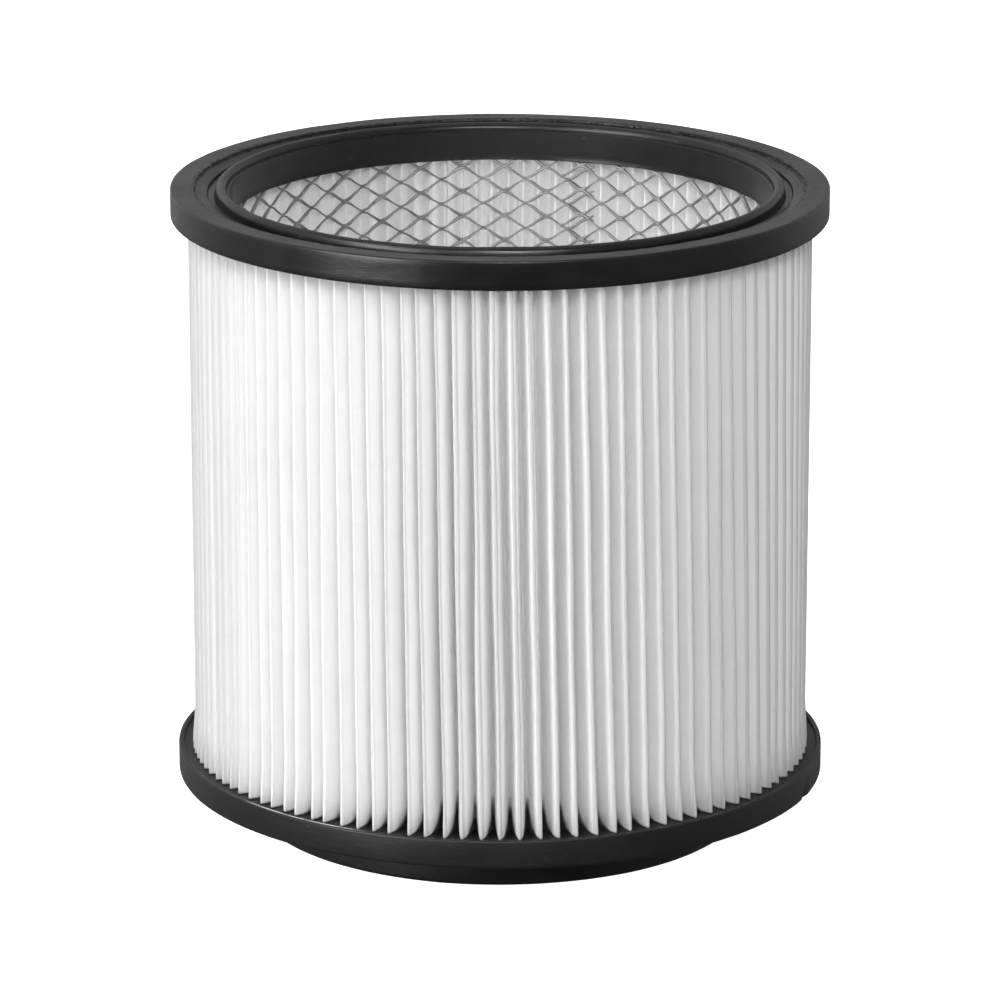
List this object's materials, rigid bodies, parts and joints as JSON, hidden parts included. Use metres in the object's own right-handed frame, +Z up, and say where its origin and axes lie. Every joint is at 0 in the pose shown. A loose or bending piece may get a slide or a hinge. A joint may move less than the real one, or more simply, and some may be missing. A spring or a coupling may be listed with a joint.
{
  "type": "pleated filter element",
  "caption": "Round cartridge air filter with a ring of white pleated nonwoven between two black moulded end caps, an expanded metal core, an open lipped end and a closed footed end.",
  "frame": {"origin": "centre of the foot's underside, on the cartridge's axis", "axes": "+Z up the axis, towards the open end with the seal lip; X and Y across, with no preferred direction"},
  "size_m": [0.2, 0.2, 0.1991],
  "materials": {
    "cap_rubber": "semi-matt black moulded elastomer",
    "nonwoven": "matt white spunbond nonwoven",
    "galvanised_sheet": "dull galvanised expanded metal"
  },
  "bodies": {
    "root": {"top_end_cap": "cap_rubber", "bottom_end_cap": "cap_rubber", "pleated_media": "nonwoven", "inner_core": "galvanised_sheet"}
  },
  "joints": []
}
